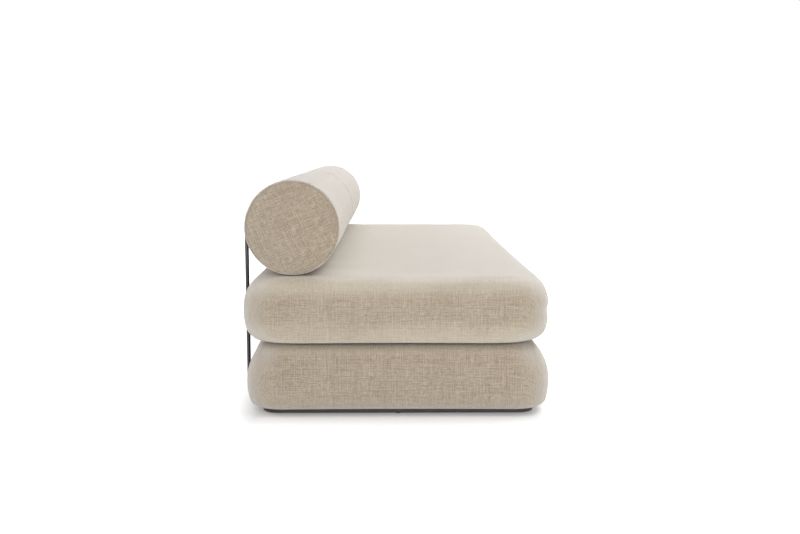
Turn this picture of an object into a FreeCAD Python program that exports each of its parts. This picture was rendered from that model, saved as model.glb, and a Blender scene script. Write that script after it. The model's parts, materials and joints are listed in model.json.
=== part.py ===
import FreeCAD, Part
import math
import os
from FreeCAD import Vector

# Sofa bed: a mattress laid on an upholstered base of the same plan, with two bolsters behind as the backrest.
# Each bolster hangs by webbing loops on a steel hoop that is bolted to the base.
# Millimetres. +X runs to the right as seen from the front, +Y to the rear, +Z up.
# The origin is on the floor, under the middle of the whole object.

# Mattress and base
mattress_length = 2000.0
mattress_depth = 900.0
base_thickness = 196.5
upper_thickness = 202.0
upper_crown = 8.0
upper_setback = 8.0
corner_radius = 90.0
long_side_draw = 5.0
short_side_draw = 3.0
base_bottom_tuck = 18.0
base_top_tuck = 80.0
base_widest_height = 80.5
upper_bottom_tuck = 40.0
upper_top_tuck = 68.0
upper_widest_height = 96.0
crown_flat_margin = 20.0
edge_steps = 5
crown_steps = 4

# Covers and foam
cover_thickness = 2.0
foam_fit = 0.3
soft_clearance = 0.3
comfort_layer = 45.0
underside_margin = 30.0
panel_clearance = 0.15

# Base frame
border_foam = 46.0
frame_rail_thickness = 22.0
frame_rail_height = 70.0
corner_block = 35.0
frame_corner_room = 1.5
slat_count = 14
slat_width = 70.0
slat_thickness = 9.0
turn_under = 16.0

# Plinth and glides
plinth_height = 15.5
plinth_inset = 47.0
plinth_width = 22.0
plinth_corner_radius = 50.0
glide_height = 2.5
glide_radius = 9.0
plinth_screw_radius = 2.0
plinth_screw_head_radius = 4.0
plinth_screw_head_height = 3.0
plinth_screw_length = 30.0
plinth_screw_edge = 120.0
plinth_screw_count = 4
screw_clearance = 0.1

# Bolsters
bolster_diameter = 276.5
bolster_end_inset = 46.0
bolster_gap = 6.0
bolster_crown = 1.5
bolster_rim = 7.0
bolster_dome = 6.0
batten_inset = 70.0
batten_width = 20.0
batten_height = 45.0
batten_skin = 8.0

# Hoops
rod_diameter = 12.0
rod_gap = 0.5
rail_standoff = 13.25
post_inset = 191.0
hoop_bend = 45.0
plate_width = 70.0
plate_height = 50.0
plate_thickness = 4.0
bolt_drop = 18.0
plate_corner = 8.0
weld_depth = 1.5
rod_tail = 8.0
bolt_offset = 21.0
bolt_radius = 4.0
bolt_head_radius = 7.0
bolt_head_height = 4.4
bolt_hole_clearance = 0.25
spacer_radius = 8.0
spacer_hole_clearance = 0.5
thread_clearance = 0.05
tee_nut_radius = 5.5
tee_nut_depth = 10.0
tee_nut_flange_radius = 10.0
tee_nut_flange_thickness = 1.6

# Webbing loops
loop_thickness = 2.5
loop_width = 60.0
loop_running_clearance = 0.08
loop_slit_clearance = 0.25
loop_count = 3
loop_end_margin = 30.0

# Places worked out from the sizes above
rod_radius = rod_diameter / 2
bolster_radius = bolster_diameter / 2
bolster_length = (mattress_length - bolster_gap) / 2 - bolster_end_inset
loop_outer_radius = rod_radius + loop_running_clearance + loop_thickness
base_y = -(upper_setback + rod_gap + rod_radius + loop_outer_radius) / 2
upper_y = base_y + upper_setback
base_bottom = plinth_height
base_top = base_bottom + base_thickness
upper_bottom = base_top + soft_clearance
rail_y = upper_y + mattress_depth / 2 + rod_gap + rod_radius
bolster_y = rail_y - rod_radius - rail_standoff - bolster_radius
crown_reach = mattress_depth / 2 - corner_radius - crown_flat_margin


def crown_rise(inset):
    """Height of the upper mattress's top above its edge, at a distance in from its outline."""
    share = (inset - upper_top_tuck) / (crown_reach - upper_top_tuck)
    share = min(max(share, 0.0), 1.0)
    return upper_crown * (1 - (1 - share) ** 2)


bolster_line_inset = mattress_depth / 2 - abs(bolster_y - upper_y)
bolster_seat = upper_bottom + upper_thickness - upper_crown + crown_rise(bolster_line_inset)
bolster_z = bolster_seat + soft_clearance + bolster_radius
rail_z = bolster_z

frame_half_x = mattress_length / 2 - border_foam
frame_half_y = mattress_depth / 2 - border_foam
frame_bottom = base_bottom + cover_thickness
frame_top = frame_bottom + frame_rail_height
slat_top = frame_top + slat_thickness
frame_corner_reach = (corner_radius + base_bottom_tuck - border_foam) * math.sqrt(2)
frame_corner_overrun = frame_corner_reach - (corner_radius - cover_thickness) + frame_corner_room
frame_corner_radius = max(frame_corner_overrun, frame_corner_room) / (math.sqrt(2) - 1)
inner_half_x = frame_half_x - frame_rail_thickness
inner_half_y = frame_half_y - frame_rail_thickness
plinth_half_x = mattress_length / 2 - plinth_inset
plinth_half_y = mattress_depth / 2 - plinth_inset

plate_rear = rail_y - rod_radius + weld_depth
plate_front = plate_rear - plate_thickness
frame_rear = base_y + frame_half_y
plate_centre_height = frame_top - bolt_drop

bolster_centres = {
    "left": -(bolster_gap + bolster_length) / 2,
    "right": (bolster_gap + bolster_length) / 2,
}
post_reach = bolster_length / 2 - post_inset


def save(shape, name):
    shape.exportStep(os.path.join("parts", name + ".step"))


def box(x0, x1, y0, y1, z0, z1):
    return Part.makeBox(x1 - x0, y1 - y0, z1 - z0, Vector(x0, y0, z0))


def rod_along_y(radius, x, y0, y1, z):
    return Part.makeCylinder(radius, y1 - y0, Vector(x, y0, z), Vector(0, 1, 0))


def rod_along_z(radius, x, y, z0, z1):
    return Part.makeCylinder(radius, z1 - z0, Vector(x, y, z0), Vector(0, 0, 1))


def cut_all(shape, tools):
    for tool in tools:
        shape = shape.cut(tool)
    return shape


def round_uprights(block, radius):
    """The block with its upright corners rounded."""
    upright = [edge for edge in block.Edges if abs(edge.tangentAt(edge.FirstParameter).z) > 0.99]
    return block.makeFillet(radius, upright)


# Cushion forms


def cushion_outline(half_x, half_y, radius, centre_y, z):
    """Closed outline of a cushion at one height: sides drawn in a little, joined by round corners."""
    slant = radius * (1 - math.sqrt(0.5))
    flat_x = half_x - radius
    flat_y = half_y - radius

    def at(x, y):
        return Vector(x, centre_y + y, z)

    edges = []
    for sign in (1, -1):
        side_start = at(sign * half_x, -sign * flat_y)
        side_middle = at(sign * (half_x - short_side_draw), 0)
        side_end = at(sign * half_x, sign * flat_y)
        edges.append(Part.Arc(side_start, side_middle, side_end).toShape())
        corner_middle = at(sign * (half_x - slant), sign * (half_y - slant))
        corner_end = at(sign * flat_x, sign * half_y)
        edges.append(Part.Arc(side_end, corner_middle, corner_end).toShape())
        long_middle = at(0, sign * (half_y - long_side_draw))
        long_end = at(-sign * flat_x, sign * half_y)
        edges.append(Part.Arc(corner_end, long_middle, long_end).toShape())
        turn_middle = at(-sign * (half_x - slant), sign * (half_y - slant))
        turn_end = at(-sign * half_x, sign * flat_y)
        edges.append(Part.Arc(long_end, turn_middle, turn_end).toShape())
    return Part.Wire(edges)


def cushion_form(centre_y, bottom, thickness, crown, bottom_tuck, top_tuck, widest_height, shrink):
    """Solid cushion with round edges and a crowned top, set in all round by shrink."""
    edge_top = thickness - crown - shrink
    low_tuck = bottom_tuck - shrink
    low_rise = widest_height - shrink
    high_tuck = top_tuck - shrink
    high_rise = edge_top - widest_height
    profile = []
    for step in range(edge_steps):
        angle = math.pi / 2 * step / edge_steps
        profile.append((low_tuck * (1 - math.sin(angle)), shrink + low_rise * (1 - math.cos(angle))))
    for step in range(edge_steps, -1, -1):
        angle = math.pi / 2 * step / edge_steps
        profile.append((high_tuck * (1 - math.sin(angle)), edge_top - high_rise * (1 - math.cos(angle))))
    rise = []
    for step in range(crown_steps + 1):
        share = step / crown_steps
        inset = high_tuck + share * (crown_reach - top_tuck)
        rise.append((inset, edge_top + crown * (1 - (1 - share) ** 2)))

    def loft(rows):
        outlines = []
        for inset, height in rows:
            half_x = mattress_length / 2 - shrink - inset
            half_y = mattress_depth / 2 - shrink - inset
            outlines.append(
                cushion_outline(half_x, half_y, corner_radius - shrink, centre_y, bottom + height)
            )
        return Part.makeLoft(outlines, True, False)

    edge = loft(profile)
    if crown > 0:
        return edge.fuse(loft(rise)).removeSplitter()
    return edge


def base_form(shrink):
    return cushion_form(
        base_y, base_bottom, base_thickness, 0.0,
        base_bottom_tuck, base_top_tuck, base_widest_height, shrink,
    )


def upper_form(shrink):
    return cushion_form(
        upper_y, upper_bottom, upper_thickness, upper_crown,
        upper_bottom_tuck, upper_top_tuck, upper_widest_height, shrink,
    )


# Base: plinth, timber frame, foam and cover


def plinth_rails():
    """Dark plinth under the base, by name, with round outer corners."""
    x, y, w = plinth_half_x, plinth_half_y, plinth_width
    z0, z1 = glide_height, plinth_height
    half = w / 2
    room = round_uprights(box(-x, x, base_y - y, base_y + y, z0, z1), plinth_corner_radius)
    rails = {
        "plinth_front_rail": box(-x, x, base_y - y, base_y - y + w, z0, z1),
        "plinth_rear_rail": box(-x, x, base_y + y - w, base_y + y, z0, z1),
        "plinth_left_rail": box(-x, -x + w, base_y - y + w, base_y + y - w, z0, z1),
        "plinth_right_rail": box(x - w, x, base_y - y + w, base_y + y - w, z0, z1),
        "plinth_centre_rail": box(-half, half, base_y - y + w, base_y + y - w, z0, z1),
    }
    return {name: rail.common(room) for name, rail in rails.items()}


def plinth_screw_places():
    """Screws up through the long plinth rails, in the middle of what lies under the timber rails."""
    reach = plinth_half_x - plinth_screw_edge
    outer = min(plinth_half_y, frame_half_y)
    inner = max(plinth_half_y - plinth_width, inner_half_y)
    across = (outer + inner) / 2
    places = []
    for step in range(plinth_screw_count):
        x = reach * (2 * step / (plinth_screw_count - 1) - 1)
        for side in (-1, 1):
            places.append((x, base_y + side * across))
    return places


def plinth_screw_form(clearance):
    """Countersunk screws, or with clearance the holes that they go through."""
    forms = []
    head_top = glide_height + plinth_screw_head_height
    for x, y in plinth_screw_places():
        shank_end = glide_height + plinth_screw_length + clearance
        shank = rod_along_z(plinth_screw_radius + clearance, x, y, glide_height, shank_end)
        head = Part.makeCone(
            plinth_screw_head_radius + clearance, plinth_screw_radius + clearance,
            head_top - glide_height, Vector(x, y, glide_height), Vector(0, 0, 1),
        )
        forms.append(shank.fuse(head).removeSplitter())
    return forms


def glides():
    """Round glides under the plinth: along both long rails, and in the middle of the others."""
    along = plinth_half_x - plinth_width / 2
    across = plinth_half_y - plinth_width / 2
    reach = plinth_half_x - plinth_screw_edge / 2
    places = [(-along, 0.0), (0.0, 0.0), (along, 0.0)]
    for share in (-1, 0, 1):
        for side in (-1, 1):
            places.append((share * reach, side * across))
    return [rod_along_z(glide_radius, x, base_y + y, 0.0, glide_height) for x, y in places]


def hoop_bolt_places():
    """Bolts at both sides of each post's foot."""
    places = []
    for centre in bolster_centres.values():
        for post in (-post_reach, post_reach):
            for side in (-bolt_offset, bolt_offset):
                places.append(centre + post + side)
    return places


def frame_room():
    """Block that the timber frame and its slats fill, with upright corners round enough for the cover."""
    block = box(
        -frame_half_x, frame_half_x, base_y - frame_half_y, base_y + frame_half_y, base_bottom, slat_top
    )
    return round_uprights(block, frame_corner_radius)


def frame_rails():
    room = frame_room()
    x, y, t = frame_half_x, frame_half_y, frame_rail_thickness
    z0, z1 = frame_bottom, frame_top
    front = box(-x, x, base_y - y, base_y - y + t, z0, z1).common(room)
    rear = box(-x, x, base_y + y - t, base_y + y, z0, z1).common(room)
    for bolt_x in hoop_bolt_places():
        bolt_hole = rod_along_y(
            bolt_radius + bolt_hole_clearance, bolt_x, frame_rear - t, frame_rear, plate_centre_height
        )
        nut_hole = rod_along_y(
            tee_nut_radius + screw_clearance, bolt_x, frame_rear - t,
            frame_rear - t + tee_nut_depth, plate_centre_height,
        )
        rear = cut_all(rear, [bolt_hole, nut_hole])
    holes = plinth_screw_form(screw_clearance)
    return {
        "frame_front_rail": cut_all(front, holes),
        "frame_rear_rail": cut_all(rear, holes),
        "frame_left_rail": box(-x, -x + t, base_y - y + t, base_y + y - t, z0, z1).common(room),
        "frame_right_rail": box(x - t, x, base_y - y + t, base_y + y - t, z0, z1).common(room),
    }


def cross_rails():
    """Rails across the frame, in the middle and behind the middle of each bolster."""
    rails = []
    half = frame_rail_thickness / 2
    front = base_y - inner_half_y
    rear = base_y + inner_half_y
    for x in (bolster_centres["left"], 0.0, bolster_centres["right"]):
        rails.append(box(x - half, x + half, front, rear, frame_bottom, frame_top))
    return rails


def corner_blocks():
    """Triangular blocks glued into the corners of the frame."""
    blocks = []
    for side_x in (-1, 1):
        for side_y in (-1, 1):
            corner_x = side_x * inner_half_x
            corner_y = base_y + side_y * inner_half_y
            triangle = Part.makePolygon([
                Vector(corner_x, corner_y, frame_bottom),
                Vector(corner_x - side_x * corner_block, corner_y, frame_bottom),
                Vector(corner_x, corner_y - side_y * corner_block, frame_bottom),
                Vector(corner_x, corner_y, frame_bottom),
            ])
            blocks.append(Part.Face(triangle).extrude(Vector(0, 0, frame_rail_height)))
    return blocks


def deck_slats():
    slats = []
    room = frame_room()
    half = slat_width / 2
    reach = frame_half_x - half
    for step in range(slat_count):
        x = reach * (2 * step / (slat_count - 1) - 1)
        slat = box(x - half, x + half, base_y - frame_half_y, base_y + frame_half_y, frame_top, slat_top)
        slats.append(slat.common(room))
    return slats


def spacer_holes():
    """Ways through the cover and the border foam for the hoops' spacers."""
    radius = spacer_radius + spacer_hole_clearance
    return [
        rod_along_y(radius, x, frame_rear, plate_front, plate_centre_height) for x in hoop_bolt_places()
    ]


def base_window(clearance):
    """Opening in the underside of the base cover, which is turned under the frame."""
    x = frame_half_x - turn_under - clearance
    y = frame_half_y - turn_under - clearance
    return box(-x, x, base_y - y, base_y + y, base_bottom, frame_bottom)


def base_foam():
    """Foam border round the frame, and the pad over the slats."""
    form = base_form(cover_thickness + foam_fit)
    reach_x = mattress_length
    reach_y = mattress_depth
    low = box(-reach_x, reach_x, base_y - reach_y, base_y + reach_y, base_bottom, slat_top)
    border = cut_all(form.common(low).cut(frame_room()), spacer_holes())
    return {"base_border_foam": border, "base_pad_foam": form.cut(low)}


def base_cover():
    shell = base_form(0.0).cut(base_form(cover_thickness)).cut(base_window(0.0))
    return cut_all(shell, spacer_holes() + plinth_screw_form(screw_clearance))


# Upper mattress


def underside_window(clearance):
    x = mattress_length / 2 - upper_bottom_tuck - underside_margin - clearance
    y = mattress_depth / 2 - upper_bottom_tuck - underside_margin - clearance
    return box(-x, x, upper_y - y, upper_y + y, upper_bottom, upper_bottom + cover_thickness)


def upper_layers():
    """Foam core between a comfort layer below and one above."""
    form = upper_form(cover_thickness + foam_fit)
    low_joint = upper_bottom + comfort_layer
    high_joint = upper_bottom + upper_thickness - comfort_layer
    x = mattress_length
    y = mattress_depth
    top = upper_bottom + 2 * upper_thickness
    below = box(-x, x, upper_y - y, upper_y + y, 0.0, low_joint)
    between = box(-x, x, upper_y - y, upper_y + y, low_joint, high_joint)
    above = box(-x, x, upper_y - y, upper_y + y, high_joint, top)
    return {
        "upper_bottom_foam": form.common(below),
        "upper_core_foam": form.common(between),
        "upper_top_foam": form.common(above),
    }


def upper_cover():
    return upper_form(0.0).cut(upper_form(cover_thickness)).cut(underside_window(0.0))


# Hoops and their fixings


def hoop(centre):
    """Bent rod with a rail along the back of the bolster, two posts and a welded plate at each foot."""
    left = centre - post_reach
    right = centre + post_reach
    foot = plate_centre_height - plate_height / 2 + rod_tail
    shoulder = rail_z - hoop_bend
    slant = hoop_bend * (1 - math.sqrt(0.5))

    def at(x, z):
        return Vector(x, rail_y, z)

    path = Part.Wire([
        Part.LineSegment(at(left, foot), at(left, shoulder)).toShape(),
        Part.Arc(at(left, shoulder), at(left + slant, rail_z - slant), at(left + hoop_bend, rail_z)).toShape(),
        Part.LineSegment(at(left + hoop_bend, rail_z), at(right - hoop_bend, rail_z)).toShape(),
        Part.Arc(at(right - hoop_bend, rail_z), at(right - slant, rail_z - slant), at(right, shoulder)).toShape(),
        Part.LineSegment(at(right, shoulder), at(right, foot)).toShape(),
    ])
    section = Part.Wire([Part.makeCircle(rod_radius, at(left, foot), Vector(0, 0, 1))])
    rod = path.makePipeShell([section], True, True)
    plates = [foot_plate(left), foot_plate(right)]
    return rod.fuse(plates).removeSplitter()


def foot_plate(x):
    half = plate_width / 2
    low = plate_centre_height - plate_height / 2
    high = plate_centre_height + plate_height / 2
    plate = box(x - half, x + half, plate_front, plate_rear, low, high)
    upright = [edge for edge in plate.Edges if abs(edge.tangentAt(edge.FirstParameter).y) > 0.99]
    plate = plate.makeFillet(plate_corner, upright)
    radius = bolt_radius + bolt_hole_clearance
    holes = [
        rod_along_y(radius, x + side * bolt_offset, plate_front, plate_rear, plate_centre_height)
        for side in (-1, 1)
    ]
    return cut_all(plate, holes)


def hoop_fixings():
    """Spacer tubes, bolts and tee nuts that hold the hoops to the rear rail of the frame."""
    spacers = []
    bolts = []
    nuts = []
    rail_front = frame_rear - frame_rail_thickness
    z = plate_centre_height
    for x in hoop_bolt_places():
        tube = rod_along_y(spacer_radius, x, frame_rear, plate_front, z)
        spacers.append(tube.cut(rod_along_y(bolt_radius + bolt_hole_clearance, x, frame_rear, plate_front, z)))
        head = rod_along_y(bolt_head_radius, x, plate_rear, plate_rear + bolt_head_height, z)
        shank = rod_along_y(bolt_radius, x, rail_front, plate_rear, z)
        bolts.append(head.fuse(shank).removeSplitter())
        flange = rod_along_y(tee_nut_flange_radius, x, rail_front - tee_nut_flange_thickness, rail_front, z)
        barrel = rod_along_y(tee_nut_radius, x, rail_front, rail_front + tee_nut_depth, z)
        thread = rod_along_y(
            bolt_radius + thread_clearance, x, rail_front - tee_nut_flange_thickness,
            rail_front + tee_nut_depth, z,
        )
        nuts.append(flange.fuse(barrel).removeSplitter().cut(thread))
    return {"hoop_spacers": spacers, "hoop_bolts": bolts, "hoop_tee_nuts": nuts}


# Bolsters


def turned(centre, points):
    """Solid of revolution about a bolster's axis, from a closed row of edges in the plane above the axis."""
    face = Part.Face(Part.Wire(points))
    return face.revolve(Vector(centre, bolster_y, bolster_z), Vector(1, 0, 0), 360)


def bolster_point(centre, along, radius):
    return Vector(centre + along, bolster_y, bolster_z + radius)


def bolster_form(centre, shrink):
    """Stuffed roll with a slight barrel and rounded rims, set in all round by shrink."""
    half = bolster_length / 2 - bolster_dome - shrink
    middle = bolster_radius - shrink
    end = middle - bolster_crown
    rim = bolster_rim - shrink
    slant = rim * (1 - math.sqrt(0.5))

    def at(along, radius):
        return bolster_point(centre, along, radius)

    edges = [
        Part.LineSegment(at(-half, 0), at(-half, end - rim)).toShape(),
        Part.Arc(at(-half, end - rim), at(-half + slant, end - slant), at(-half + rim, end)).toShape(),
        Part.Arc(at(-half + rim, end), at(0, middle), at(half - rim, end)).toShape(),
        Part.Arc(at(half - rim, end), at(half - slant, end - slant), at(half, end - rim)).toShape(),
        Part.LineSegment(at(half, end - rim), at(half, 0)).toShape(),
        Part.LineSegment(at(half, 0), at(-half, 0)).toShape(),
    ]
    return turned(centre, edges)


end_panel_radius = bolster_radius - bolster_crown - bolster_rim


def end_opening(centre, side):
    """The mouth of the sleeve at one end, which the end panel closes."""
    face = centre + side * (bolster_length / 2 - bolster_dome)
    start = Vector(face - side * cover_thickness, bolster_y, bolster_z)
    return Part.makeCylinder(end_panel_radius, cover_thickness, start, Vector(side, 0, 0))


def end_panel(centre, side):
    """Round end panel, a little domed, sewn into the mouth of the sleeve."""
    face = bolster_length / 2 - bolster_dome
    radius = end_panel_radius - panel_clearance
    bulge = bolster_dome * 0.75

    def at(along, height):
        return bolster_point(centre, side * along, height)

    edges = [
        Part.LineSegment(at(face - cover_thickness, 0), at(face + bolster_dome, 0)).toShape(),
        Part.Arc(at(face + bolster_dome, 0), at(face + bulge, radius / 2), at(face, radius)).toShape(),
        Part.LineSegment(at(face, radius), at(face - cover_thickness, radius)).toShape(),
        Part.LineSegment(at(face - cover_thickness, radius), at(face - cover_thickness, 0)).toShape(),
    ]
    return turned(centre, edges)


def loop_places(centre):
    """Middles of the webbing loops, spread along the straight of the rail."""
    reach = post_reach - hoop_bend - loop_end_margin - loop_width / 2
    return [centre + reach * (2 * step / (loop_count - 1) - 1) for step in range(loop_count)]


batten_rear = bolster_y + bolster_radius - bolster_crown - cover_thickness - batten_skin


def batten_room(centre):
    half = bolster_length / 2 - batten_inset
    z = batten_height / 2
    return box(
        centre - half, centre + half, batten_rear - batten_width, batten_rear, bolster_z - z, bolster_z + z
    )


def loop_slits(centre):
    """Slits for the loops' tails, from the batten out through the sleeve."""
    half = loop_width / 2 + loop_slit_clearance
    z = loop_thickness / 2 + loop_slit_clearance
    rear = bolster_y + bolster_radius + rail_standoff / 2
    return [box(x - half, x + half, batten_rear, rear, bolster_z - z, bolster_z + z) for x in loop_places(centre)]


def webbing_loops(centre):
    """Loops sewn round the rail, with tails that are stapled to the batten inside the bolster."""
    loops = []
    bore = rod_radius + loop_running_clearance
    half = loop_width / 2
    z = loop_thickness / 2
    for x in loop_places(centre):
        start = Vector(x - half, rail_y, rail_z)
        ring = Part.makeCylinder(loop_outer_radius, loop_width, start, Vector(1, 0, 0))
        tail = box(x - half, x + half, batten_rear, rail_y, rail_z - z, rail_z + z)
        hole = Part.makeCylinder(bore, loop_width, start, Vector(1, 0, 0))
        loops.append(ring.fuse(tail).removeSplitter().cut(hole))
    return loops


def bolster_pieces(side, centre):
    sleeve = bolster_form(centre, 0.0).cut(bolster_form(centre, cover_thickness))
    openings = [end_opening(centre, -1), end_opening(centre, 1)]
    slits = loop_slits(centre)
    foam = bolster_form(centre, cover_thickness + foam_fit).cut(batten_room(centre))
    outward = -1 if centre < 0 else 1
    name = "bolster_" + side
    return {
        name + "_sleeve": cut_all(sleeve, openings + slits),
        name + "_outer_end": end_panel(centre, outward),
        name + "_inner_end": end_panel(centre, -outward),
        name + "_foam": cut_all(foam, slits),
        name + "_batten": batten_room(centre),
        name + "_loops": Part.makeCompound(webbing_loops(centre)),
    }


# The whole object


def all_pieces():
    screw_holes = plinth_screw_form(screw_clearance)
    pieces = {name: cut_all(rail, screw_holes) for name, rail in plinth_rails().items()}
    pieces["plinth_screws"] = Part.makeCompound(plinth_screw_form(0.0))
    pieces["glides"] = Part.makeCompound(glides())
    pieces.update(frame_rails())
    pieces["frame_cross_rails"] = Part.makeCompound(cross_rails())
    pieces["frame_corner_blocks"] = Part.makeCompound(corner_blocks())
    pieces["deck_slats"] = Part.makeCompound(deck_slats())
    pieces.update(base_foam())
    pieces["base_cover"] = base_cover()
    pieces["base_dust_cloth"] = base_window(panel_clearance)
    for name, group in hoop_fixings().items():
        pieces[name] = Part.makeCompound(group)
    pieces.update(upper_layers())
    pieces["upper_cover"] = upper_cover()
    pieces["upper_underside"] = underside_window(panel_clearance)
    for side, centre in bolster_centres.items():
        pieces["hoop_" + side] = hoop(centre)
        pieces.update(bolster_pieces(side, centre))
    return pieces


os.makedirs("parts", exist_ok=True)
for piece_name, piece_shape in all_pieces().items():
    save(piece_shape, piece_name)
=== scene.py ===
# Looks of the sofa bed: covers, seams, webbing, finishes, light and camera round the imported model.
# Metres. +X runs to the right as seen from the front, +Y to the rear, +Z up.
import json
import math

import bpy
import numpy as np
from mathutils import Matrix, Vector, noise


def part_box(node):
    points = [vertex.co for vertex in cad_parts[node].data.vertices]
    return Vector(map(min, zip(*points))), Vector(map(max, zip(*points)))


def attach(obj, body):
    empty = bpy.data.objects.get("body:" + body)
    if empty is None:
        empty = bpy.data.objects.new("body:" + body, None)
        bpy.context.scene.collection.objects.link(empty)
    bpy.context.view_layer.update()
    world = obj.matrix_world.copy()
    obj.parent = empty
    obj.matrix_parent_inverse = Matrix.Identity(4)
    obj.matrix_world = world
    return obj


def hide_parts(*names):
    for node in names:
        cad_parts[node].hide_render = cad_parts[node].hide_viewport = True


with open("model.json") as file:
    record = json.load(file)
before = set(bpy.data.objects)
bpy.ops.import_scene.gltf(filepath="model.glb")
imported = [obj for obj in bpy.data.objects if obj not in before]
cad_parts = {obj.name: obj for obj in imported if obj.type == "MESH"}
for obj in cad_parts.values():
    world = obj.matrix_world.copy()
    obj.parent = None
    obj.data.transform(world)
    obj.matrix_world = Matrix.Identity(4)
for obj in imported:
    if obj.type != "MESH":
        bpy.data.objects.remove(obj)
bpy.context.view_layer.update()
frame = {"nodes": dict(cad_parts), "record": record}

# Cushion forms, as the solids have them
CORNER_RADIUS = 0.090
LONG_SIDE_DRAW = 0.005
SHORT_SIDE_DRAW = 0.003
CROWN_REACH = 0.340
BASE_TUCKS = (0.018, 0.080)
UPPER_TUCKS = (0.040, 0.068)
BASE_WIDEST = 0.0805
UPPER_WIDEST = 0.096
UPPER_CROWN = 0.008

# Making of the cushions
EDGE_STEPS = 10
CROWN_STEPS = 5
CORNER_POINTS = 10
SIDE_POINTS = 40
VOXEL = 0.0145
START_INSET = 0.0006
SWELL_PRESSURE = 4.0
SWELL_FRAMES = 20
SWELL_CAP = 0.0012
HELD_FLAT = 0.004
BOTTOM_ROOM = 0.0008
BASE_SEED = 3
UPPER_SEED = 11

# Hollows and creases of the covers
HOLLOW_DEPTHS = (0.0014, 0.0006)
HOLLOW_SIZES = (0.21, 0.07)
HOLLOW_START = (0.10, 0.30)
CREASE_SIZE = 0.034
CREASE_SLANT = 0.35
CREASE_RISE = (0.55, 0.78)
CREASE_FADE = (0.93, 1.0)
BASE_CREASES = 0.0024
UPPER_CREASES = 0.0008
LEVEL_SHARE = 0.02

# Edges of the cushions
UPPER_FULLNESS = (0.009, 0.008, 0.002)
BASE_SQUARENESS = 6.0
UPPER_SQUARENESS = 5.0
REAR_SQUARENESS = 2.4
ROUND = 2.0
SLUMP_DEPTH = 0.003
SLUMP_REACH = (0.03, 0.10)
SLUMP_RISE = (0.3, 0.9)
MID_END = (0.05, 0.17)
MID_SIDE = (0.12, 0.30)
LIFT = 0.003
LIFT_END = (0.01, 0.07)
LIFT_SIDE = (0.03, 0.20)
LIFT_FADE = (0.02, 0.45)
RIM_LIFT = 0.0020
RIM_LIFT_REACH = (0.02, 0.075)
RIM_UNEVEN = 0.4
RIM_SIZE = 0.3
RIM_SEED = 5

# Seat by the bolsters
SEAT_RISE = (0.72, 0.90)
SINK_DEPTH = 0.0030
SINK_REACH = 0.06
SQUEEZE_END = (0.015, 0.085)
SQUEEZE_REACH = 0.17
SQUEEZE_RISE = 0.006
PULL_DEPTH = 0.0045
PULL_START = (0.03, 0.09)
PULL_END = (0.13, 0.26)
FOLD_SLANT = 0.22
FOLD_SIZE = 0.022
FOLD_PATCHES = 0.10
FOLD_SHARE = (-0.15, 0.35)
FOLD_SEEDS = (8, 9)

# Painted light (paler bands) and painted shade (sheen taken away) in the cloth's colour: heights are shares
# of the cushion's own
LIT_LOWER = 0.34
LIT_LOWER_FADE = (0.12, 0.42)
LIT_UPPER = 0.32
LIT_UPPER_RISE = (0.62, 0.86)
LIT_UPPER_FADE = (0.95, 1.02)
LIT_ALL = 0.06
LIT_BY_ROLL = 0.85
LIT_REACH = 0.24
LIT_START = (0.03, 0.11)
LIT_END = (0.04, 0.13)
LIT_BASE = 0.13
LIT_BASE_RISE = (0.80, 0.93)
LIT_UNEVEN = 0.5
LIT_UNEVEN_BY_ROLL = 0.15
LIT_SIZE = 0.09
LIT_SEED = 14
TOP_BAND_RISE = (0.80, 0.95)
# Painted shade where the pieces shade each other
SHADED_BY_ROLL = 0.35
SHADED_REACH = 0.17
SHADED_CONTACT = 0.07
SHADED_BELOW = (0.0, 0.06)
SHADED_BASE_RISE = (0.86, 0.96)

# Bolsters
ROLL_TURN_POINTS = 128
ROLL_LENGTH_STEPS = 120
RIM_STEPS = 6
RIM_RADIUS = 0.008
SEAM_INSET = 0.0060
SEAM_DEPTH = 0.0014
SEAM_GAP = 0.0003
ROLL_CROWN = 0.0015
ROLL_FULLNESS = 0.0018
PUCKER_DEPTH = 0.0016
PUCKER_REACH = 0.03
PUCKER_START = (0.002, 0.008)
PUCKER_TOP = 0.1
PUCKER_RATE = 9
ROLL_HOLLOW_DEPTH = 0.0007
ROLL_HOLLOW_SIZE = 0.16
ROLL_HOLLOW_LEVEL = 0.7
ROLL_HOLLOW_START = (0.01, 0.06)
LEFT_SEED = 21
RIGHT_SEED = 34
DISC_RINGS = 28
DISC_DOME_POWER = 2.4
DISC_SHOULDER = 0.0010
DISC_SHOULDER_START = 0.955
DISC_WEAVE_TURN = math.radians(22)

# Webbing loops
STRAP_THICKNESS = 0.0013
STRAP_WIDTH = 0.060
STRAP_POINTS = 13
STRAP_PINCH = 0.0145
STRAP_ARC_STEPS = 28
STRAP_LIE = 0.0001
STRAP_TAIL = 0.002
STRAP_ROOM = 0.0004
LOOP_WALL = 0.00258
STITCH_MARGIN = 0.002
STITCH_SETBACK = 0.001
STITCH_RISE = 0.0002
STITCH_SHOULDER = 0.35
STITCH_SIDES = 6
STITCH_LENGTH = 0.0032
STITCH_PITCH = 0.0046
STITCH_RADIUS = 0.0004

# Photograph's camera
PHOTO_WIDTH = 800
FOCAL_PIXELS = 1000.0
SENSOR_WIDTH = 36.0
CAMERA_PLACE = Vector((-3.8310, 0.0069, 0.7903))
CAMERA_PITCH = 0.1226
CAMERA_YAW = 0.0083
CAMERA_SIGHT = 200.0

# Floor and world
FLOOR_HALF = 40.0
FLOOR_GREY = (0.80, 0.80, 0.80, 1.0)
# Painted shadow: the floor's camera-seen glow runs from the first to the second value of FLOOR_GLOW over
# these reaches round the footprint
FLOOR_SHADE_HALF = (0.98, 0.40)
FLOOR_SHADE_REACH = (0.28, 0.11)
FLOOR_GLOW = (0.14, 0.68)
WHITE = (1.0, 1.0, 1.0, 1.0)
WORLD_LIGHT = 0.55


# Meshes


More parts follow.
